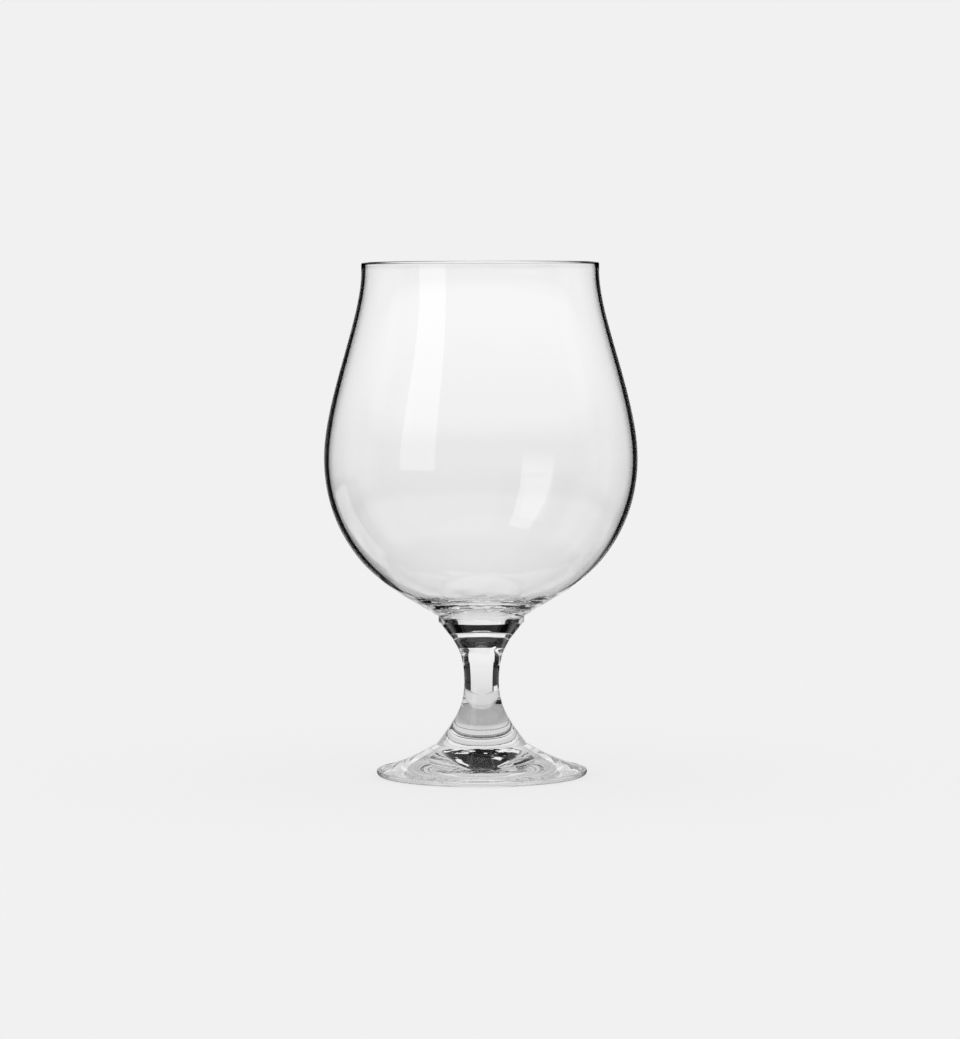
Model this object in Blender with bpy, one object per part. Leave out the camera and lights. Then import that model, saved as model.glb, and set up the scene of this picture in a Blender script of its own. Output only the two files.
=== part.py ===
"""Short-stemmed beer snifter: a blown bowl, a solid stem and a pressed foot, fused while hot.

+Z is up, and the origin is the centre of the foot on the table. Lengths are in metres, through MM.
"""

import math

import bmesh
import bpy

MM = 0.001

# Driving dimensions of the foot, a coned disc that stands on a flat ring and is hollow inside that.
FOOT_RADIUS = 31.9 * MM
FOOT_HEIGHT = 9.5 * MM
FOOT_EDGE = 1.8 * MM
FOOT_EDGE_ROUND = 0.3 * MM
FOOT_UNDER_ROUND = 1.3 * MM
FOOT_JOINT_RADIUS = 13.8 * MM
FOOT_TOP_SLOPE = 29.0
FOOT_EDGE_SLOPE = 12.0
RING_WIDTH = 3.0 * MM
HOLLOW_RISE = 2.0 * MM

# Driving dimensions of the stem, a solid hourglass with a flared head under the bowl.
STEM_HEIGHT = 38.4 * MM
STEM_WAIST_RADIUS = 5.3 * MM
STEM_WAIST_RISE = 18.6 * MM
STEM_FLARE_SLOPE = 36.0
STEM_FLARE_HANDLE = 8.0 * MM
STEM_WAIST_HANDLE = 8.5 * MM
HEAD_BAND = 1.4 * MM
HEAD_BAND_ROUND = 0.5 * MM
HEAD_CONE_HEIGHT = 5.4 * MM
HEAD_CONE_RADIUS = 8.65 * MM
HEAD_THROAT_SLOPE = 24.5
HEAD_THROAT_HANDLE = 2.6 * MM

# Driving dimensions of the bowl, a sphere below its widest line and a drawn-in tulip above it.
BOWL_HEIGHT = 107.0 * MM
BOWL_JOINT_RADIUS = 13.05 * MM
BOWL_BASE_SLOPE = 30.5
BELLY_RADIUS = 47.5 * MM
BELLY_WALL = 1.5 * MM
SHOULDER_HANDLE = 18.2 * MM
LIP_HANDLE = 14.0 * MM
LIP_HEIGHT = 2.8 * MM
RIM_RADIUS = 35.95 * MM
RIM_WALL = 1.2 * MM
FLOOR_LIFT = 0.9 * MM
FLOOR_EASE = 1.0 * MM
FLOOR_CORNER = 20.0 * MM

# The weld line between two fused pieces, kept as a fine gap so that each piece stays its own solid.
WELD_GAP = 0.3 * MM

# Facets round the axis, and along each curve of a profile.
TURN_STEPS = 60
LONG_CURVE_STEPS = 10
SHORT_CURVE_STEPS = 6

STEM_BASE = FOOT_HEIGHT + WELD_GAP
BOWL_BASE = STEM_BASE + STEM_HEIGHT + WELD_GAP
RIM_TOP = BOWL_BASE + BOWL_HEIGHT

# Lead-free crystal: colourless, smooth and clear.
GLASS_COLOUR = (0.97, 0.98, 0.98, 1.0)
GLASS_ROUGHNESS = 0.0
GLASS_IOR = 1.52

SAME_POINT = 1e-7
CREASE_ANGLE = 30.0


def clear_scene():
    for obj in list(bpy.data.objects):
        bpy.data.objects.remove(obj)


def arc(centre, radius, first, last, steps):
    """Points on a circle from one angle to another, in degrees up from the outward direction."""
    points = []
    for step in range(steps + 1):
        angle = math.radians(first + (last - first) * step / steps)
        points.append((centre[0] + radius * math.cos(angle), centre[1] + radius * math.sin(angle)))
    return points


def sweep(start, first_handle, last_handle, end, steps):
    """Points on the Bezier curve that leaves start towards one handle and reaches end from the other."""
    points = []
    for step in range(steps + 1):
        t = step / steps
        weights = ((1 - t) ** 3, 3 * t * (1 - t) ** 2, 3 * t ** 2 * (1 - t), t ** 3)
        corners = (start, first_handle, last_handle, end)
        points.append(tuple(sum(w * c[i] for w, c in zip(weights, corners)) for i in (0, 1)))
    return points


def along(point, length, slope):
    """The point reached from another by a length that climbs at a slope, in degrees above outward."""
    angle = math.radians(slope)
    return (point[0] + length * math.cos(angle), point[1] + length * math.sin(angle))


def outline(*runs):
    """The runs of a profile as one line, with the points that two runs share kept once."""
    points = []
    for point in (p for run in runs for p in run):
        if not points or math.dist(point, points[-1]) > SAME_POINT:
            points.append(point)
    return points


def glass(name):
    material = bpy.data.materials.new(name)
    material.use_nodes = True
    shader = material.node_tree.nodes["Principled BSDF"]
    shader.inputs["Base Color"].default_value = GLASS_COLOUR
    shader.inputs["Roughness"].default_value = GLASS_ROUGHNESS
    shader.inputs["Metallic"].default_value = 0.0
    shader.inputs["IOR"].default_value = GLASS_IOR
    shader.inputs["Transmission Weight"].default_value = 1.0
    return material


def turned(name, profile):
    """A piece of glass turned from a profile of (radius, height) that starts and ends on the axis."""
    shape = bmesh.new()
    corners = [shape.verts.new((radius, 0.0, height)) for radius, height in profile]
    edges = [shape.edges.new(pair) for pair in zip(corners, corners[1:])]
    bmesh.ops.spin(
        shape, geom=corners + edges, cent=(0, 0, 0), axis=(0, 0, 1),
        angle=2 * math.pi, steps=TURN_STEPS, use_merge=True,
    )
    bmesh.ops.remove_doubles(shape, verts=shape.verts, dist=SAME_POINT)
    bmesh.ops.recalc_face_normals(shape, faces=shape.faces)
    mesh = bpy.data.meshes.new(name)
    shape.to_mesh(mesh)
    shape.free()
    mesh.shade_smooth()
    mesh.set_sharp_from_angle(angle=math.radians(CREASE_ANGLE))
    mesh.materials.append(glass(name + "_glass"))
    piece = bpy.data.objects.new(name, mesh)
    bpy.context.scene.collection.objects.link(piece)
    return piece


def foot_profile():
    """From the centre of the hollow underneath, over the edge, to the centre of the face under the stem."""
    under_centre = (FOOT_RADIUS - FOOT_UNDER_ROUND, FOOT_UNDER_ROUND)
    over_centre = (FOOT_RADIUS - FOOT_EDGE_ROUND, FOOT_EDGE - FOOT_EDGE_ROUND)
    hollow_radius = under_centre[0] - RING_WIDTH
    dome = (hollow_radius ** 2 + HOLLOW_RISE ** 2) / (2 * HOLLOW_RISE)
    dome_half = math.degrees(math.asin(hollow_radius / dome))
    hollow = arc((0, HOLLOW_RISE - dome), dome, 90, 90 - dome_half, SHORT_CURVE_STEPS)
    under = arc(under_centre, FOOT_UNDER_ROUND, -90, 0, SHORT_CURVE_STEPS)
    over = arc(over_centre, FOOT_EDGE_ROUND, 0, 90 - FOOT_EDGE_SLOPE, SHORT_CURVE_STEPS)
    edge = under + over
    land_edge = (FOOT_JOINT_RADIUS, FOOT_HEIGHT)
    reach = math.dist(edge[-1], land_edge) / 3
    top = sweep(
        edge[-1], along(edge[-1], reach, 180 - FOOT_EDGE_SLOPE),
        along(land_edge, reach, -FOOT_TOP_SLOPE), land_edge, SHORT_CURVE_STEPS,
    )
    return outline(hollow, edge, top, [(0, FOOT_HEIGHT)])


def stem_profile():
    """From the centre of the face on the foot, up the waist, to the centre of the face under the bowl."""
    stem_top = STEM_BASE + STEM_HEIGHT
    base_edge = (FOOT_JOINT_RADIUS, STEM_BASE)
    waist = (STEM_WAIST_RADIUS, STEM_BASE + STEM_WAIST_RISE)
    throat = (HEAD_CONE_RADIUS, stem_top - HEAD_BAND - HEAD_CONE_HEIGHT)
    flare = sweep(
        base_edge, along(base_edge, STEM_FLARE_HANDLE, 90 + STEM_FLARE_SLOPE),
        along(waist, STEM_WAIST_HANDLE, -90), waist, LONG_CURVE_STEPS,
    )
    neck = sweep(
        waist, along(waist, STEM_WAIST_HANDLE, 90),
        along(throat, HEAD_THROAT_HANDLE, -90 - HEAD_THROAT_SLOPE), throat, SHORT_CURVE_STEPS,
    )
    band_foot = (BOWL_JOINT_RADIUS, stem_top - HEAD_BAND)
    round_centre = (BOWL_JOINT_RADIUS - HEAD_BAND_ROUND, stem_top - HEAD_BAND_ROUND)
    band_round = arc(round_centre, HEAD_BAND_ROUND, 0, 90, SHORT_CURVE_STEPS)
    return outline([(0, STEM_BASE)], flare, neck, [band_foot], band_round, [(0, stem_top)])


def bowl_outside(belly_height):
    """From the edge of the face on the stem, over the belly and the shoulder, to the foot of the rim."""
    joint_edge = (BOWL_JOINT_RADIUS, BOWL_BASE)
    belly = arc((0, belly_height), BELLY_RADIUS, BOWL_BASE_SLOPE - 90, 0, LONG_CURVE_STEPS)
    shoulder_foot = (BELLY_RADIUS, belly_height)
    lip_foot = (RIM_RADIUS, RIM_TOP - LIP_HEIGHT)
    shoulder = sweep(
        shoulder_foot, along(shoulder_foot, SHOULDER_HANDLE, 90),
        along(lip_foot, LIP_HANDLE, -90), lip_foot, LONG_CURVE_STEPS,
    )
    return outline([joint_edge], belly, shoulder)


def bowl_inside(belly_height):
    """From the foot of the rim, down the inner wall and round the corner, to the centre of the floor."""
    inner_radius = BELLY_RADIUS - BELLY_WALL
    lip_foot = (RIM_RADIUS - RIM_WALL, RIM_TOP - LIP_HEIGHT)
    shoulder_foot = (inner_radius, belly_height)
    shoulder = sweep(
        lip_foot, along(lip_foot, LIP_HANDLE, -90),
        along(shoulder_foot, SHOULDER_HANDLE, 90), shoulder_foot, LONG_CURVE_STEPS,
    )
    # The corner touches the round wall and the flatter floor, so its centre is where two circles cross.
    floor_arc = inner_radius + FLOOR_EASE
    floor_centre = belly_height - inner_radius + FLOOR_LIFT + floor_arc
    to_wall = inner_radius - FLOOR_CORNER
    to_floor = floor_arc - FLOOR_CORNER
    apart = floor_centre - belly_height
    drop = (to_floor ** 2 - to_wall ** 2 - apart ** 2) / (2 * apart)
    corner = (math.sqrt(to_wall ** 2 - drop ** 2), belly_height - drop)
    wall_end = -math.degrees(math.asin(drop / to_wall))
    floor_end = math.degrees(math.atan2(corner[1] - floor_centre, corner[0]))
    wall = arc((0, belly_height), inner_radius, 0, wall_end, LONG_CURVE_STEPS)
    turn = arc(corner, FLOOR_CORNER, wall_end, floor_end, SHORT_CURVE_STEPS)
    floor = arc((0, floor_centre), floor_arc, floor_end, -90, SHORT_CURVE_STEPS)
    return outline(shoulder, wall, turn, floor)


def bowl_profile():
    slope = math.radians(BOWL_BASE_SLOPE)
    belly_height = BOWL_BASE + BELLY_RADIUS / math.cos(slope) - BOWL_JOINT_RADIUS * math.tan(slope)
    bead = RIM_WALL / 2
    rim = arc((RIM_RADIUS - bead, RIM_TOP - bead), bead, 0, 180, SHORT_CURVE_STEPS)
    return outline([(0, BOWL_BASE)], bowl_outside(belly_height), rim, bowl_inside(belly_height))


def main():
    clear_scene()
    turned("foot", foot_profile())
    turned("stem", stem_profile())
    turned("bowl", bowl_profile())


main()
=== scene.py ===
"""A clear glass beer snifter in a pale studio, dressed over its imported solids.

Lengths are in metres and angles in degrees. The foot comes first, then the stem and the bowl that are
fused to it, then the studio. Each piece is half of its section, drawn and then spun round the axis.
"""

import math

import bpy
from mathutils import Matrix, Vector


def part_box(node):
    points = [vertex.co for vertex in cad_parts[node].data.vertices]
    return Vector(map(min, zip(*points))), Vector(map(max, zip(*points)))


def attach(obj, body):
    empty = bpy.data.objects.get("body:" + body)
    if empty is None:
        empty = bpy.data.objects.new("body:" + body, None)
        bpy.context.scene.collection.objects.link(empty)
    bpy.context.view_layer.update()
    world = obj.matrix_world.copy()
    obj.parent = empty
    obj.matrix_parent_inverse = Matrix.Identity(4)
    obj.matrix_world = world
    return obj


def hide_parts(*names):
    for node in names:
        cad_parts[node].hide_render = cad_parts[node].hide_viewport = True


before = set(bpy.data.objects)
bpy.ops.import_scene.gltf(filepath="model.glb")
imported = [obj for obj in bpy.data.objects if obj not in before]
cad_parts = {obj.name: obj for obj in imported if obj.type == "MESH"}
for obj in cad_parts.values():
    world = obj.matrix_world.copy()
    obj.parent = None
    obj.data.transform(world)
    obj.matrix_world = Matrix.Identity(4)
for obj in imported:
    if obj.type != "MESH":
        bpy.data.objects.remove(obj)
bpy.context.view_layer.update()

# Foot: one disc of clear glass, pressed in a mould while hot. It is coned on top and a little hollow
# underneath, so that it stands on a narrow flat ring. The stem is fused to the flat land in its middle.

MM = 0.001
_, foot_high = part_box("foot")
FOOT_RADIUS = foot_high.x
FOOT_TOP = foot_high.z
FOOT_EDGE = 1.8 * MM
FOOT_EDGE_ROUND = 0.3 * MM
FOOT_UNDER_ROUND = 1.3 * MM
FOOT_EDGE_SLOPE = 12
FOOT_TOP_SLOPE = 29
FOOT_LAND_RADIUS = 13.8 * MM
RING_WIDTH = 3 * MM
HOLLOW_RISE = 2 * MM
PRESS_WAVE = 4 * MM
PRESS_WAVE_DEPTH = 0.22 * MM
PRESS_WAVE_REACH = 16 * MM
UNDERSIDE_TOP = HOLLOW_RISE + 0.5 * MM
FOOT_RIPPLE = 3 * MM

WHITE = "#ffffff"
GLASS_INDEX = 1.52
RIPPLE_DEPTH = 0.01 * MM
RIPPLE_DETAIL = 2
FILM_PATCH = 20 * MM
FILM_DETAIL = 4
FILM_RANGE = (0.5, 0.8)
FILM_ROUGHNESS = 0.02

TURN_STEPS = 240
CURVE_STEPS = 48
ROUND_STEPS = 16
SAME_PLACE = 1e-6
CREASE_ANGLE = 25


def arc(centre, radius, first, last, steps):
    """A round run of a section, from one angle to another, both counted up from the outward direction."""
    angles = [math.radians(first + (last - first) * step / steps) for step in range(steps + 1)]
    return [(centre[0] + radius * math.cos(a), centre[1] + radius * math.sin(a)) for a in angles]


def sweep(start, first_handle, last_handle, end, steps):
    """A free curve of a section, which leaves start towards one handle and reaches end from the other."""
    run = []
    for step in range(steps + 1):
        t = step / steps
        weights = ((1 - t) ** 3, 3 * t * (1 - t) ** 2, 3 * t ** 2 * (1 - t), t ** 3)
        corners = (start, first_handle, last_handle, end)
        run.append(tuple(sum(w * c[i] for w, c in zip(weights, corners)) for i in (0, 1)))
    return run


def along(point, length, slope):
    """The point that lies a length away from another, in a direction counted up from outward."""
    angle = math.radians(slope)
    return (point[0] + length * math.cos(angle), point[1] + length * math.sin(angle))


def turned(name, *runs):
    """A closed piece: the runs of its section are drawn point by point and spun once round the axis."""
    section = [point for run in runs for point in run]
    pairs = zip(section, [None] + section)
    section = [point for point, last in pairs if not last or math.dist(point, last) > SAME_PLACE]
    bpy.ops.object.select_all(action="DESELECT")
    bpy.ops.mesh.primitive_plane_add(size=MM)
    piece = bpy.context.object
    piece.name = piece.data.name = name
    bpy.ops.object.mode_set(mode="EDIT")
    bpy.ops.mesh.merge(type="CENTER")
    bpy.ops.transform.translate(value=(section[0][0], 0, section[0][1]))
    for (radius, height), (next_radius, next_height) in zip(section, section[1:]):
        step = (next_radius - radius, 0, next_height - height)
        bpy.ops.mesh.extrude_vertices_move(TRANSFORM_OT_translate={"value": step})
    bpy.ops.mesh.select_all(action="SELECT")
    bpy.ops.mesh.spin(steps=TURN_STEPS, angle=math.tau, center=(0, 0, 0), axis=(0, 0, 1))
    bpy.ops.mesh.select_all(action="SELECT")
    bpy.ops.mesh.remove_doubles(threshold=SAME_PLACE)
    bpy.ops.mesh.normals_make_consistent(inside=False)
    bpy.ops.object.mode_set(mode="OBJECT")
    return piece


def waved(piece, name, length, depth, strength_at):
    """The soft waves that a piece keeps from its making, cut in by a share that depends on the place."""
    group = piece.vertex_groups.new(name=name)
    for corner in piece.data.vertices:
        group.add([corner.index], strength_at(corner.co), "REPLACE")
    texture = bpy.data.textures.new(name, "CLOUDS")
    texture.noise_scale = length
    bpy.ops.object.modifier_add(type="DISPLACE")
    wave = piece.modifiers[-1]
    wave.texture = texture
    wave.texture_coords = "LOCAL"
    wave.vertex_group = name
    wave.mid_level = 1
    wave.strength = depth
    bpy.ops.object.modifier_apply(modifier=wave.name)


def linear(colour):
    """The light values of an sRGB hex colour, with full alpha."""
    shares = [int(colour[i:i + 2], 16) / 255 for i in (1, 3, 5)]
    return [s / 12.92 if s <= 0.04045 else ((s + 0.055) / 1.055) ** 2.4 for s in shares] + [1]


def add(tree, kind, *inputs, output=0, **settings):
    """A node with its settings. Inputs are given in order, as values or as sockets to link; None is left."""
    node = tree.nodes.new("ShaderNode" + kind)
    for name, value in settings.items():
        setattr(node, name, value)
    for socket, value in zip(node.inputs, inputs):
        if isinstance(value, bpy.types.NodeSocket):
            tree.links.new(value, socket)
        elif value is not None:
            socket.default_value = value
    return node.outputs[output] if node.outputs else node


def clear_glass(name, ripple):
    """Lead-free crystal, fire polished: it has no colour, and shows only what it bends and mirrors.

    A faint ripple is left from its making, and a faint film of handling dulls it in soft patches.
    """
    material = bpy.data.materials.new(name)
    material.use_nodes = True
    tree = material.node_tree
    shader = tree.nodes["Principled BSDF"]
    shader.inputs["Base Color"].default_value = linear(WHITE)
    shader.inputs["IOR"].default_value = GLASS_INDEX
    shader.inputs["Transmission Weight"].default_value = 1
    place = add(tree, "TexCoord", output="Object")
    relief = add(tree, "TexNoise", place, None, 1 / ripple, RIPPLE_DETAIL)
    normal = add(tree, "Bump", 1, RIPPLE_DEPTH, None, relief)
    tree.links.new(normal, shader.inputs["Normal"])
    film = add(tree, "TexNoise", place, None, 1 / FILM_PATCH, FILM_DETAIL)
    roughness = add(tree, "MapRange", film, *FILM_RANGE, 0, FILM_ROUGHNESS)
    tree.links.new(roughness, shader.inputs["Roughness"])
    return material


def weld_glass():
    """The inside of a weld line, where glass meets glass and nothing shows."""
    material = bpy.data.materials.new("weld_inside")
    material.use_nodes = True
    material.node_tree.nodes["Principled BSDF"].inputs["Alpha"].default_value = 0
    return material


def dressed(piece, glass, slot, *weld_heights):
    """Gives a piece its glass, and the weld's inside on the faces that lie at a weld line."""
    piece.data.materials.append(glass)
    piece.data.materials.append(weld)
    for face in piece.data.polygons:
        heights = [piece.data.vertices[i].co.z for i in face.vertices]
        if any(max(abs(h - weld_height) for h in heights) < SAME_PLACE for weld_height in weld_heights):
            face.material_index = 1
    bpy.ops.object.shade_smooth_by_angle(angle=math.radians(CREASE_ANGLE))
    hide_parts(slot.split("_")[0])
    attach(piece, "root")


def under_foot(point):
    """How much of a point of the foot lies in the middle of its underside."""
    if point.z > UNDERSIDE_TOP:
        return 0
    return max(0, 1 - math.hypot(point.x, point.y) / PRESS_WAVE_REACH)


weld = weld_glass()
under_centre = (FOOT_RADIUS - FOOT_UNDER_ROUND, FOOT_UNDER_ROUND)
over_centre = (FOOT_RADIUS - FOOT_EDGE_ROUND, FOOT_EDGE - FOOT_EDGE_ROUND)
hollow_radius = under_centre[0] - RING_WIDTH
dome = (hollow_radius ** 2 + HOLLOW_RISE ** 2) / (2 * HOLLOW_RISE)
dome_edge = 90 - math.degrees(math.asin(hollow_radius / dome))
hollow = arc((0, HOLLOW_RISE - dome), dome, 90, dome_edge, CURVE_STEPS)
lower_edge = arc(under_centre, FOOT_UNDER_ROUND, -90, 0, ROUND_STEPS)
upper_edge = arc(over_centre, FOOT_EDGE_ROUND, 0, 90 - FOOT_EDGE_SLOPE, ROUND_STEPS)
land_edge = (FOOT_LAND_RADIUS, FOOT_TOP)
reach = math.dist(upper_edge[-1], land_edge) / 3
foot_cone = sweep(
    upper_edge[-1], along(upper_edge[-1], reach, 180 - FOOT_EDGE_SLOPE),
    along(land_edge, reach, -FOOT_TOP_SLOPE), land_edge, CURVE_STEPS,
)
foot = turned("pressed_foot", hollow, lower_edge, upper_edge, foot_cone, [(0, FOOT_TOP)])
waved(foot, "press_waves", PRESS_WAVE, PRESS_WAVE_DEPTH, under_foot)
dressed(foot, clear_glass("pressed_crystal", FOOT_RIPPLE), "foot_glass", FOOT_TOP)

# Stem: one solid piece of clear glass, drawn out while hot to an hourglass with a flared head. Its lower
# end is fused to the foot and the short band on its head to the bowl.

stem_low, stem_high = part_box("stem")
bowl_low, bowl_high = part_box("bowl")
STEM_WAIST_RADIUS = 5.3 * MM
STEM_WAIST_HEIGHT = stem_low.z + 18.6 * MM
STEM_FLARE_SLOPE = 36
STEM_FLARE_HANDLE = 8 * MM
STEM_WAIST_HANDLE = 8.5 * MM
HEAD_BAND = 1.4 * MM
HEAD_BAND_ROUND = 0.5 * MM
HEAD_CONE_HEIGHT = 5.4 * MM
HEAD_CONE_RADIUS = 8.65 * MM
HEAD_THROAT_SLOPE = 24.5
HEAD_THROAT_HANDLE = 2.6 * MM
HEAD_RADIUS = 13.05 * MM
STEM_RIPPLE = 4 * MM

stem_base = FOOT_TOP
stem_top = bowl_low.z
base_edge = (FOOT_LAND_RADIUS, stem_base)
waist = (STEM_WAIST_RADIUS, STEM_WAIST_HEIGHT)
throat = (HEAD_CONE_RADIUS, stem_high.z - HEAD_BAND - HEAD_CONE_HEIGHT)
flare = sweep(
    base_edge, along(base_edge, STEM_FLARE_HANDLE, 90 + STEM_FLARE_SLOPE),
    along(waist, STEM_WAIST_HANDLE, -90), waist, CURVE_STEPS,
)
neck = sweep(
    waist, along(waist, STEM_WAIST_HANDLE, 90),
    along(throat, HEAD_THROAT_HANDLE, -90 - HEAD_THROAT_SLOPE), throat, CURVE_STEPS,
)
band_foot = (HEAD_RADIUS, stem_high.z - HEAD_BAND)
band_round = arc(
    (HEAD_RADIUS - HEAD_BAND_ROUND, stem_top - HEAD_BAND_ROUND), HEAD_BAND_ROUND, 0, 90, ROUND_STEPS,
)
stem = turned("drawn_stem", [(0, stem_base)], flare, neck, [band_foot], band_round, [(0, stem_top)])
dressed(stem, clear_glass("drawn_crystal", STEM_RIPPLE), "stem_glass", stem_base, stem_top)

# Bowl: one bubble of clear glass, blown in a mould, with its rim cut and rounded by fire. Below its widest
# line it is a sphere, above it a tulip drawn in to an upright lip. Its base is thicker than its wall, has a
# flatter floor with soft waves from the blowing, and is fused to the head of the stem.

BOWL_BASE = bowl_low.z
RIM_TOP = bowl_high.z
BELLY_RADIUS = bowl_high.x
BOWL_BASE_SLOPE = 30.5
BELLY_WALL = 1.5 * MM
SHOULDER_HANDLE = 18.2 * MM
LIP_HANDLE = 14 * MM
LIP_HEIGHT = 2.8 * MM
RIM_RADIUS = 35.95 * MM
RIM_WALL = 1.2 * MM
WALL_END = -56
FLOOR_HEIGHT = 52.1 * MM
FLOOR_WALL_HANDLE = 8 * MM
FLOOR_FLAT_HANDLE = 13 * MM
LEAST_BASE = 0.8 * MM
BLOW_WAVE = 7 * MM
BLOW_WAVE_DEPTH = 0.3 * MM
BLOW_WAVE_REACH = 30 * MM
BLOW_WAVE_FADE = 6 * MM
BOWL_RIPPLE = 20 * MM

base_slope = math.radians(BOWL_BASE_SLOPE)
belly = BOWL_BASE + BELLY_RADIUS / math.cos(base_slope) - HEAD_RADIUS * math.tan(base_slope)
outer_belly = arc((0, belly), BELLY_RADIUS, BOWL_BASE_SLOPE - 90, 0, CURVE_STEPS)
lip_foot = (RIM_RADIUS, RIM_TOP - LIP_HEIGHT)
outer_shoulder = sweep(
    outer_belly[-1], along(outer_belly[-1], SHOULDER_HANDLE, 90),
    along(lip_foot, LIP_HANDLE, -90), lip_foot, CURVE_STEPS,
)
bead = RIM_WALL / 2
rim = arc((RIM_RADIUS - bead, RIM_TOP - bead), bead, 0, 180, ROUND_STEPS)
inner_radius = BELLY_RADIUS - BELLY_WALL
inner_lip_foot = (RIM_RADIUS - RIM_WALL, RIM_TOP - LIP_HEIGHT)
inner_belly_edge = (inner_radius, belly)
inner_shoulder = sweep(
    inner_lip_foot, along(inner_lip_foot, LIP_HANDLE, -90),
    along(inner_belly_edge, SHOULDER_HANDLE, 90), inner_belly_edge, CURVE_STEPS,
)
inner_belly = arc((0, belly), inner_radius, 0, WALL_END, CURVE_STEPS)
floor_point = (0, FLOOR_HEIGHT)
inner_floor = sweep(
    inner_belly[-1], along(inner_belly[-1], FLOOR_WALL_HANDLE, WALL_END - 90),
    along(floor_point, FLOOR_FLAT_HANDLE, 0), floor_point, CURVE_STEPS,
)
bowl = turned(
    "blown_bowl", [(0, BOWL_BASE), (HEAD_RADIUS, BOWL_BASE)], outer_belly, outer_shoulder, rim,
    inner_shoulder, inner_belly, inner_floor,
)


def on_floor(point):
    """How much of a point of the bowl lies on its inner floor, fading out where the wall begins."""
    radius = math.hypot(point.x, point.y)
    outside = BOWL_BASE + max(0, radius - HEAD_RADIUS) * math.tan(base_slope)
    if point.z < outside + LEAST_BASE or point.z > belly:
        return 0
    return max(0, min(1, (BLOW_WAVE_REACH - radius) / BLOW_WAVE_FADE))


waved(bowl, "blow_waves", BLOW_WAVE, BLOW_WAVE_DEPTH, on_floor)
dressed(bowl, clear_glass("blown_crystal", BOWL_RIPPLE), "bowl_glass", BOWL_BASE)

# Table: a round of pale matt card that the glass stands on. It melts into the surround's own pale tone, and
# it lies a hair under the foot, because glass that rests on card keeps air between them. Painted on it for
# the
# glass alone: dark reflections, two behind and one in front, that only the outside of the glass mirrors; a
# painted shadow round under the stem, seen where light has been mirrored inside the glass; a painted shadow
# ring under the foot, seen through the glass; and painted shade close by, wherever it is seen through the
# glass.

PALE = "#f1f1f1"
# The black of the painted reflections, painted shadows and painted shade on the card.
PAINTED_BLACK = "#000000"
TABLE_RADIUS = 0.34
TABLE_CORNERS = 128
AIR_UNDER_FOOT = 0.05 * MM
EVEN_SHARE = 0.8

# An edge is a pair of values: where it begins to fade and where it has faded.
SEEN_EDGE = (160 * MM, 330 * MM)
EDGE_IN_GLASS = (80 * MM, 110 * MM)
STEM_SHADOW_EDGE = (13 * MM, 18 * MM)
STEM_SHADOW_SHADE = 0.42
RING_RADIUS = 30 * MM
RING_EDGE = (1 * MM, 4 * MM)
RING_SHADE = 0.7
RING_BREAK = (10 * MM, 18 * MM)
NEAR_EDGE = (85 * MM, 100 * MM)
NEAR_SHADE = 0.18
REAR_REFLECTION_TURN = 36
REAR_REFLECTION_EDGE = (7, 17)
LEFT_REFLECTION_SHADE = 0.95
RIGHT_REFLECTION_SHADE = 0.7
FRONT_REFLECTION_EDGE = (60, 75)
FRONT_REFLECTION_SHADE = 0.95
ONCE_MIRRORED = 0.5
SOFT = {"interpolation_type": "SMOOTHSTEP"}

bpy.ops.object.select_all(action="DESELECT")
bpy.ops.mesh.primitive_circle_add(
    vertices=TABLE_CORNERS, radius=TABLE_RADIUS, fill_type="NGON", location=(0, 0, -AIR_UNDER_FOOT),
)
table = bpy.context.object
table.name = "table"
pale_card = bpy.data.materials.new("pale_card")
pale_card.use_nodes = True
table_tree = pale_card.node_tree
matt = table_tree.nodes["Principled BSDF"]
matt.inputs["Base Color"].default_value = linear(PALE)
matt.inputs["Roughness"].default_value = 1
matt.inputs["Specular IOR Level"].default_value = 0
glow = add(table_tree, "Emission", linear(PALE), 1)
lit = add(table_tree, "MixShader", EVEN_SHARE, matt.outputs[0], glow)
place = add(table_tree, "TexCoord", output="Object")
place_x, place_y, _ = add(table_tree, "SeparateXYZ", place).node.outputs
distance = add(table_tree, "VectorMath", place, operation="LENGTH", output="Value")
turn = add(table_tree, "Math", place_x, place_y, operation="ARCTAN2")
turn = add(table_tree, "Math", turn, operation="DEGREES")
ray = add(table_tree, "LightPath").node.outputs
inside_glass = ray["Is Transmission Ray"]
outside_glass = add(table_tree, "Math", 1, inside_glass, operation="SUBTRACT")
off_outside = add(table_tree, "Math", ray["Is Glossy Ray"], outside_glass, operation="MULTIPLY")
mirrored_inside = add(table_tree, "Math", ray["Glossy Depth"], ONCE_MIRRORED, operation="GREATER_THAN")
mirrored_inside = add(table_tree, "Math", mirrored_inside, inside_glass, operation="MULTIPLY")


def painted_rear_reflection(middle, shade):
    """A dark patch painted on the card behind the glass on one side, as a painted reflection for the outside
    of the glass.
    """
    off = add(table_tree, "Math", turn, middle, operation="SUBTRACT")
    off = add(table_tree, "Math", off, operation="ABSOLUTE")
    return add(table_tree, "MapRange", off, *REAR_REFLECTION_EDGE, shade, 0, **SOFT)


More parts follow.
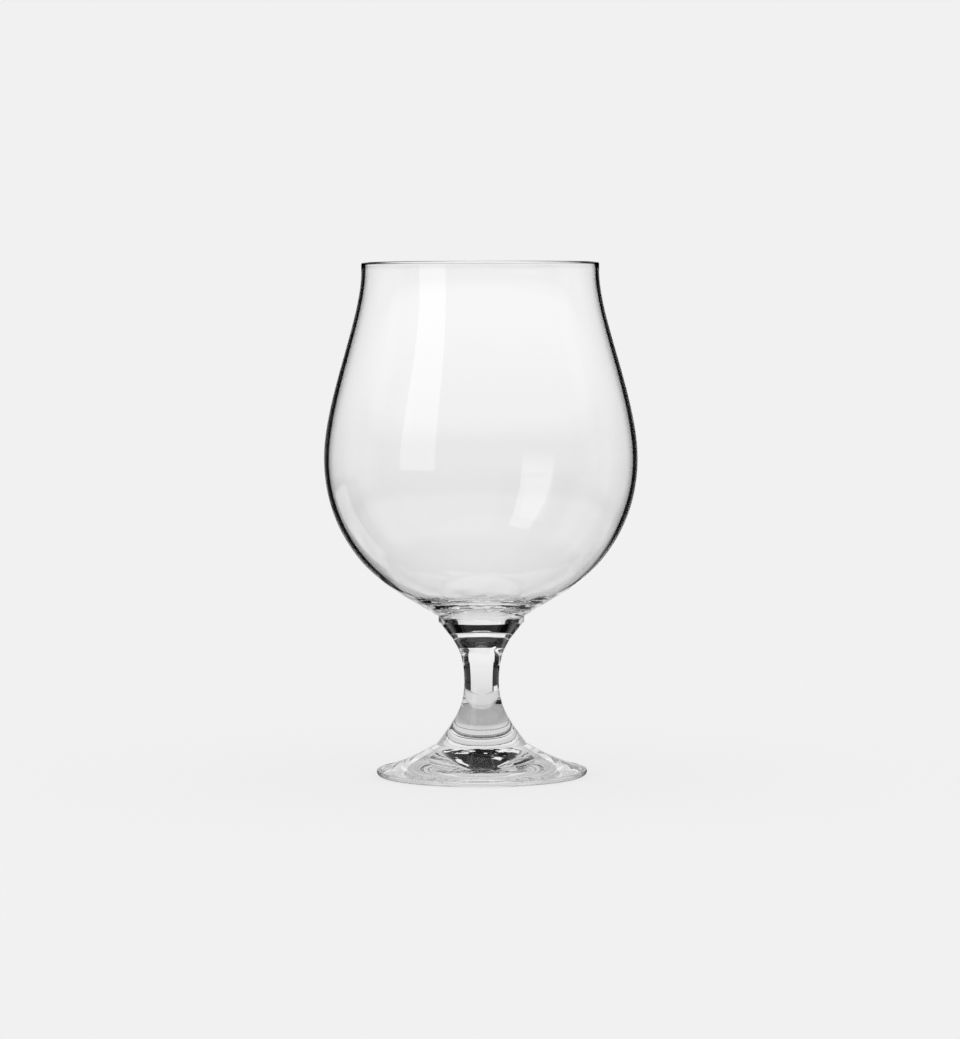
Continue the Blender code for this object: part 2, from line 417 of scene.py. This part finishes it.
# Painted reflections: dark patches on the card, two behind the glass and one in front, which show only where
# the outside of the glass mirrors the card.
left_painted_reflection = painted_rear_reflection(-REAR_REFLECTION_TURN, LEFT_REFLECTION_SHADE)
right_painted_reflection = painted_rear_reflection(REAR_REFLECTION_TURN, RIGHT_REFLECTION_SHADE)
painted_reflections = add(table_tree, "Math", left_painted_reflection, right_painted_reflection, operation="MAXIMUM")
turn_off_rear = add(table_tree, "Math", turn, operation="ABSOLUTE")
front_painted_reflection = add(table_tree, "MapRange", turn_off_rear, *FRONT_REFLECTION_EDGE, 0, FRONT_REFLECTION_SHADE)
painted_reflections = add(table_tree, "Math", painted_reflections, front_painted_reflection, operation="MAXIMUM")
painted_reflections = add(table_tree, "Math", painted_reflections, off_outside, operation="MULTIPLY")
# Painted shade: the card is darker close to the glass wherever it is seen through the glass.
near = add(table_tree, "MapRange", distance, *NEAR_EDGE, NEAR_SHADE, 0)
near = add(table_tree, "Math", near, inside_glass, operation="MULTIPLY")
# Painted shadow: a dark round on the card under the stem, seen only where the light has been mirrored inside
# the glass.
painted_stem_shadow = add(table_tree, "MapRange", distance, *STEM_SHADOW_EDGE, STEM_SHADOW_SHADE, 0)
painted_stem_shadow = add(table_tree, "Math", painted_stem_shadow, mirrored_inside, operation="MULTIPLY")
# Painted shadow: a dark ring on the card under the foot's edge, broken at its front and back, seen only
# through the glass.
off_ring = add(table_tree, "Math", distance, RING_RADIUS, operation="SUBTRACT")
off_ring = add(table_tree, "Math", off_ring, operation="ABSOLUTE")
off_middle = add(table_tree, "Math", place_x, operation="ABSOLUTE")
painted_ring_shadow = add(table_tree, "MapRange", off_ring, *RING_EDGE, RING_SHADE, 0)
ring_sides = add(table_tree, "MapRange", off_middle, *RING_BREAK)
painted_ring_shadow = add(table_tree, "Math", painted_ring_shadow, ring_sides, operation="MULTIPLY")
painted_ring_shadow = add(table_tree, "Math", painted_ring_shadow, inside_glass, operation="MULTIPLY")
shade = add(table_tree, "Math", painted_reflections, near, operation="MAXIMUM")
shade = add(table_tree, "Math", shade, painted_stem_shadow, operation="MAXIMUM")
shade = add(table_tree, "Math", shade, painted_ring_shadow, operation="MAXIMUM")
lit = add(table_tree, "MixShader", shade, lit, add(table_tree, "Emission", linear(PAINTED_BLACK), 0))
seen_fade = add(table_tree, "MapRange", distance, *SEEN_EDGE, **SOFT)
fade_in_glass = add(table_tree, "MapRange", distance, *EDGE_IN_GLASS, **SOFT)
fade = add(table_tree, "Mix", ray["Is Camera Ray"], None, fade_in_glass, seen_fade)
surface = add(table_tree, "MixShader", fade, lit, add(table_tree, "BsdfTransparent"))
table_tree.links.new(surface, table_tree.nodes["Material Output"].inputs["Surface"])
table.data.materials.append(pale_card)

# Studio: a pale surround, lit evenly and set out as glass is photographed. Pale panels stand behind the
# glass for the sides that it is looked at from, and dark flags between them draw its outline. What shows
# there depends on whether it is seen off the outside, through one wall or the stem, or through two walls.

ALL_ROUND = 360
PANEL_SOFT = 1.5
HEIGHT_SOFT = 1
BACKDROP_FALL = (1.4, 4)
BACKDROP_TONES = (0.99, 0.885)
FLAG_TONE = 0.01
PANEL_TONE = 0.94
REAR_HALF_ROUND = (95, 120)
SIDE_WALL_TURN = (30, 44)
SIDE_WALL_FALL = (-33, -29)
SIDE_WALL_TONE = 0.75
CORNER_FLAG_TURN = -45
CORNER_FLAG_EDGE = (26, 34)
CORNER_FLAG_FALL = (6, 10)
LOW_WALL_TURN = 14
LOW_WALL_EDGE = (20, 28)
LOW_WALL_FALL = (14, 20)
CEILING_FALL = (-40, -28)
CEILING_TONE = 0.02
FRONT_WALL_TURN = (100, 130)
FRONT_WALL_FALL = (-30, -20)
FRONT_WALL_TONE = 0.3
STEEP = (29, 37)
STEEP_TONE = 0.3
REAR_TONE = 0.9
LOW_SIDE_FALL = (18, 26)
LOW_SIDE_TONE = 0.8
LIGHT_TOP_FALL = (-18, -8)
LIGHT_TOP_TONE = 0.02
DIM_TURN = (55, 100)
DIM_TONES = (0.8, 0.05)
FLOOR_LIGHT_FALL = (8, 20)
FLOOR_LIGHT_TONE = 0.9
ONE_WALL = 2.5

world = bpy.data.worlds.new("studio")
bpy.context.scene.world = world
world.use_nodes = True
studio_tree = world.node_tree
studio_tree.nodes.clear()
direction = add(studio_tree, "TexCoord", output="Generated")
toward_x, toward_y, toward_z = add(studio_tree, "SeparateXYZ", direction).node.outputs
azimuth = add(studio_tree, "Math", toward_x, toward_y, operation="ARCTAN2")
azimuth = add(studio_tree, "Math", azimuth, operation="DEGREES")
climb = add(studio_tree, "Math", toward_z, operation="ARCSINE")
climb = add(studio_tree, "Math", climb, operation="DEGREES")
fall = add(studio_tree, "Math", climb, -1, operation="MULTIPLY")
path = add(studio_tree, "LightPath").node.outputs
mirrored = add(studio_tree, "Math", path["Glossy Depth"], ONCE_MIRRORED, operation="GREATER_THAN")
straight = add(studio_tree, "Math", path["Glossy Depth"], ONCE_MIRRORED, operation="LESS_THAN")
two_walls = add(studio_tree, "Math", path["Transmission Depth"], ONE_WALL, operation="GREATER_THAN")


def away(centre, spacing):
    """How far a direction is to the side of the nearest of some evenly spaced directions."""
    side = add(studio_tree, "Math", azimuth, centre, operation="SUBTRACT")
    side = add(studio_tree, "Math", side, spacing / 2, -spacing / 2, operation="WRAP")
    return add(studio_tree, "Math", side, operation="ABSOLUTE")


def panels(centre, spacing, half_width, upper, lower):
    """How much of a direction lies on evenly spaced panels between two falls below the horizon."""
    side = away(centre, spacing)
    wide = add(studio_tree, "MapRange", side, half_width - PANEL_SOFT, half_width + PANEL_SOFT, 1, 0, **SOFT)
    under = add(studio_tree, "MapRange", fall, upper - HEIGHT_SOFT, upper + HEIGHT_SOFT, **SOFT)
    over = add(studio_tree, "MapRange", fall, lower - HEIGHT_SOFT, lower + HEIGHT_SOFT, 1, 0, **SOFT)
    high = add(studio_tree, "Math", under, over, operation="MULTIPLY")
    return add(studio_tree, "Math", wide, high, operation="MULTIPLY")


backdrop = add(studio_tree, "MapRange", fall, *BACKDROP_FALL, *BACKDROP_TONES, **SOFT)
off_rear = away(0, ALL_ROUND)

# Through one wall, the stem or the foot: pale panels, and lamps and side walls that show only where the
# light has been mirrored inside the glass. All else is a dark flag.

rear_half = add(studio_tree, "MapRange", off_rear, *REAR_HALF_ROUND, 1, 0, **SOFT)
level_panels = panels(centre=0, spacing=90, half_width=8, upper=-25, lower=70)
level_panels = add(studio_tree, "Math", level_panels, rear_half, operation="MULTIPLY")
corner_panels = panels(centre=-45, spacing=180, half_width=12, upper=10, lower=40)
high_panels = panels(centre=0, spacing=90, half_width=31, upper=-40, lower=-10)
high_panels = add(studio_tree, "Math", high_panels, straight, operation="MULTIPLY")
panel = add(studio_tree, "Math", level_panels, corner_panels, operation="MAXIMUM")
panel = add(studio_tree, "Math", panel, high_panels, operation="MAXIMUM")
middle_lamps = panels(centre=-15, spacing=90, half_width=5, upper=-37, lower=-32)
right_lamps = panels(centre=27, spacing=90, half_width=4, upper=-46, lower=-31)
left_lamps = panels(centre=-36, spacing=90, half_width=4, upper=-44, lower=-29)
lamps = add(studio_tree, "Math", middle_lamps, right_lamps, operation="MAXIMUM")
lamps = add(studio_tree, "Math", lamps, left_lamps, operation="MAXIMUM")
aside = add(studio_tree, "MapRange", off_rear, *SIDE_WALL_TURN, **SOFT)
side_walls = add(studio_tree, "MapRange", fall, *SIDE_WALL_FALL, 0, SIDE_WALL_TONE, **SOFT)
side_walls = add(studio_tree, "Math", side_walls, aside, operation="MULTIPLY")
corner_flags = add(studio_tree, "MapRange", away(CORNER_FLAG_TURN, ALL_ROUND / 2), *CORNER_FLAG_EDGE, 1, 0)
flags_under = add(studio_tree, "MapRange", fall, *CORNER_FLAG_FALL)
corner_flags = add(studio_tree, "Math", corner_flags, flags_under, operation="MULTIPLY")
beside_flags = add(studio_tree, "Math", 1, corner_flags, operation="SUBTRACT")
side_walls = add(studio_tree, "Math", side_walls, beside_flags, operation="MULTIPLY")
low_wall = add(studio_tree, "MapRange", away(LOW_WALL_TURN, ALL_ROUND), *LOW_WALL_EDGE, 1, 0)
wall_under = add(studio_tree, "MapRange", fall, *LOW_WALL_FALL, 0, SIDE_WALL_TONE)
low_wall = add(studio_tree, "Math", low_wall, wall_under, operation="MULTIPLY")
side_walls = add(studio_tree, "Math", side_walls, low_wall, operation="MAXIMUM")
lamps = add(studio_tree, "Math", lamps, side_walls, operation="MAXIMUM")
lamps = add(studio_tree, "Math", lamps, mirrored, operation="MULTIPLY")
panel = add(studio_tree, "Math", panel, lamps, operation="MAXIMUM")
panel_tone = add(studio_tree, "Math", backdrop, PANEL_TONE, operation="MINIMUM")
thick = add(studio_tree, "Mix", panel, None, FLAG_TONE, panel_tone)
ceiling = add(studio_tree, "MapRange", fall, *CEILING_FALL, CEILING_TONE, 0, **SOFT)
thick = add(studio_tree, "Math", thick, ceiling, operation="MAXIMUM")
front_wall = add(studio_tree, "MapRange", off_rear, *FRONT_WALL_TURN, 0, FRONT_WALL_TONE, **SOFT)
front_under = add(studio_tree, "MapRange", fall, *FRONT_WALL_FALL, **SOFT)
front_wall = add(studio_tree, "Math", front_wall, front_under, operation="MULTIPLY")
thick = add(studio_tree, "Math", thick, front_wall, operation="MAXIMUM")

# Off the outside of the glass: dark at its own height, so that the gloss stays quiet, and pale behind it,
# far above it and low down at its sides.

steepness = add(studio_tree, "Math", fall, operation="ABSOLUTE")
gloss = add(studio_tree, "MapRange", steepness, *STEEP, 0, STEEP_TONE, **SOFT)
rear_panel = panels(centre=0, spacing=ALL_ROUND, half_width=10, upper=-16, lower=5)
rear_panel = add(studio_tree, "Math", rear_panel, REAR_TONE, operation="MULTIPLY")
gloss = add(studio_tree, "Math", gloss, rear_panel, operation="MAXIMUM")
low_sides = add(studio_tree, "MapRange", fall, *LOW_SIDE_FALL, 0, LOW_SIDE_TONE, **SOFT)
low_sides = add(studio_tree, "Math", low_sides, aside, operation="MULTIPLY")
gloss = add(studio_tree, "Math", gloss, low_sides, operation="MAXIMUM")

# Through two walls: the pale backdrop, dark high up. Where the light has been mirrored inside the glass it
# is dimmer, the more so towards the front, but for the pale floor.

low_light = add(studio_tree, "MapRange", fall, *LIGHT_TOP_FALL, LIGHT_TOP_TONE, 1, **SOFT)
thin = add(studio_tree, "Math", backdrop, low_light, operation="MULTIPLY")
dimmed = add(studio_tree, "MapRange", off_rear, *DIM_TURN, *DIM_TONES, **SOFT)
dimmed = add(studio_tree, "Math", dimmed, low_light, operation="MULTIPLY")
floor_light = add(studio_tree, "MapRange", fall, *FLOOR_LIGHT_FALL, 0, FLOOR_LIGHT_TONE)
dimmed = add(studio_tree, "Math", dimmed, floor_light, operation="MAXIMUM")
thin = add(studio_tree, "Mix", mirrored, None, thin, dimmed)

through = add(studio_tree, "Mix", two_walls, None, thick, thin)
strength = add(studio_tree, "Mix", path["Is Glossy Ray"], None, 1, gloss)
strength = add(studio_tree, "Mix", path["Is Transmission Ray"], None, strength, through)
strength = add(studio_tree, "Mix", path["Is Camera Ray"], None, strength, linear(PALE)[0])
light = add(studio_tree, "Background", linear(WHITE), strength)
add(studio_tree, "OutputWorld", light)

# Light cards: a tall soft box in front and to the left, which the bowl mirrors as two pale strips, and a
# low white card behind the stem. They are seen only in the glass.

GLASS_MIDDLE = 0.095
BOX_TURN = -46.5
BOX_HALF_WIDTH = 13.5
BOX_FOOT_CLIMB = -5
BOX_TOP_CLIMB = 54
BOX_FULL_CLIMB = 9
BOX_TONES = (1.1, 1.1)
LOW_CARD_HALF_WIDTH = 45 * MM
LOW_CARD_DISTANCE = 90 * MM
LOW_CARD_HEIGHT = 52 * MM
LOW_CARD_TONES = (0.72, 0.95)
TWICE_MIRRORED = 1.5


def light_card(name, tones, corners, full_height=None):
    """A flat glowing card that shows in the glass and lights nothing else.

    Its tone runs from foot to top. With a full height, its foot fades in up to there where it is seen
    through two walls, and otherwise it is seen only where the light has been mirrored once at most.
    """
    bpy.ops.object.select_all(action="DESELECT")
    bpy.ops.mesh.primitive_plane_add(size=2)
    card = bpy.context.object
    card.name = name
    for corner, place in zip(card.data.vertices, corners):
        corner.co = place
    material = bpy.data.materials.new(name)
    material.use_nodes = True
    tree = material.node_tree
    height = add(tree, "SeparateXYZ", add(tree, "TexCoord", output="Object"), output="Z")
    tone = add(tree, "MapRange", height, corners[0][2], corners[-1][2], *tones)
    if full_height:
        path = add(tree, "LightPath").node.outputs
        once = add(tree, "Math", path["Glossy Depth"], TWICE_MIRRORED, operation="LESS_THAN")
        deep = add(tree, "Math", path["Transmission Depth"], ONE_WALL, operation="GREATER_THAN")
        rise = add(tree, "MapRange", height, corners[0][2], full_height)
        seen = add(tree, "Mix", deep, None, once, rise)
        tone = add(tree, "Math", tone, seen, operation="MULTIPLY")
    glow = add(tree, "Emission", linear(WHITE), tone)
    tree.links.new(glow, tree.nodes["Material Output"].inputs["Surface"])
    card.data.materials.append(material)
    card.visible_camera = False
    card.visible_diffuse = False
    card.visible_shadow = False


def box_corner(side, climb):
    """A point of the soft box, a metre off: to a side of its middle, at a climb above the bowl's middle."""
    turn = math.radians(BOX_TURN)
    off = side * math.tan(math.radians(BOX_HALF_WIDTH))
    return (
        math.sin(turn) + off * math.cos(turn),
        -math.cos(turn) + off * math.sin(turn),
        GLASS_MIDDLE + math.tan(math.radians(climb)),
    )


box_corners = [box_corner(side, climb) for climb in (BOX_FOOT_CLIMB, BOX_TOP_CLIMB) for side in (-1, 1)]
light_card("soft_box", BOX_TONES, box_corners, box_corner(0, BOX_FULL_CLIMB)[2])
low_corners = [
    (side * LOW_CARD_HALF_WIDTH, LOW_CARD_DISTANCE, height)
    for height in (0, LOW_CARD_HEIGHT) for side in (-1, 1)
]
light_card("low_card", LOW_CARD_TONES, low_corners)

# Camera: a long lens, far off, a little higher than the rim and turned down to the glass. The light is
# followed through every wall of the glass, so it may bend and mirror many times.

CAMERA_DISTANCE = 1.394
CAMERA_HEIGHT = 0.1702
CAMERA_FALL = 3.797
CAMERA_ROLL = 0.2
LENS_PER_FRAME_HEIGHT = 4.44273
GLASS_BOUNCES = 32
GLOSS_BOUNCES = 16

bpy.ops.object.camera_add(location=(0, -CAMERA_DISTANCE, CAMERA_HEIGHT))
camera = bpy.context.object
camera.rotation_euler = (math.radians(90 - CAMERA_FALL), math.radians(CAMERA_ROLL), 0)
camera.data.lens = LENS_PER_FRAME_HEIGHT * camera.data.sensor_width
bpy.context.scene.camera = camera
bpy.context.scene.view_settings.view_transform = "Standard"
cycles = bpy.context.scene.cycles
cycles.max_bounces = GLASS_BOUNCES
cycles.transmission_bounces = GLASS_BOUNCES
cycles.transparent_max_bounces = GLASS_BOUNCES
cycles.glossy_bounces = GLOSS_BOUNCES
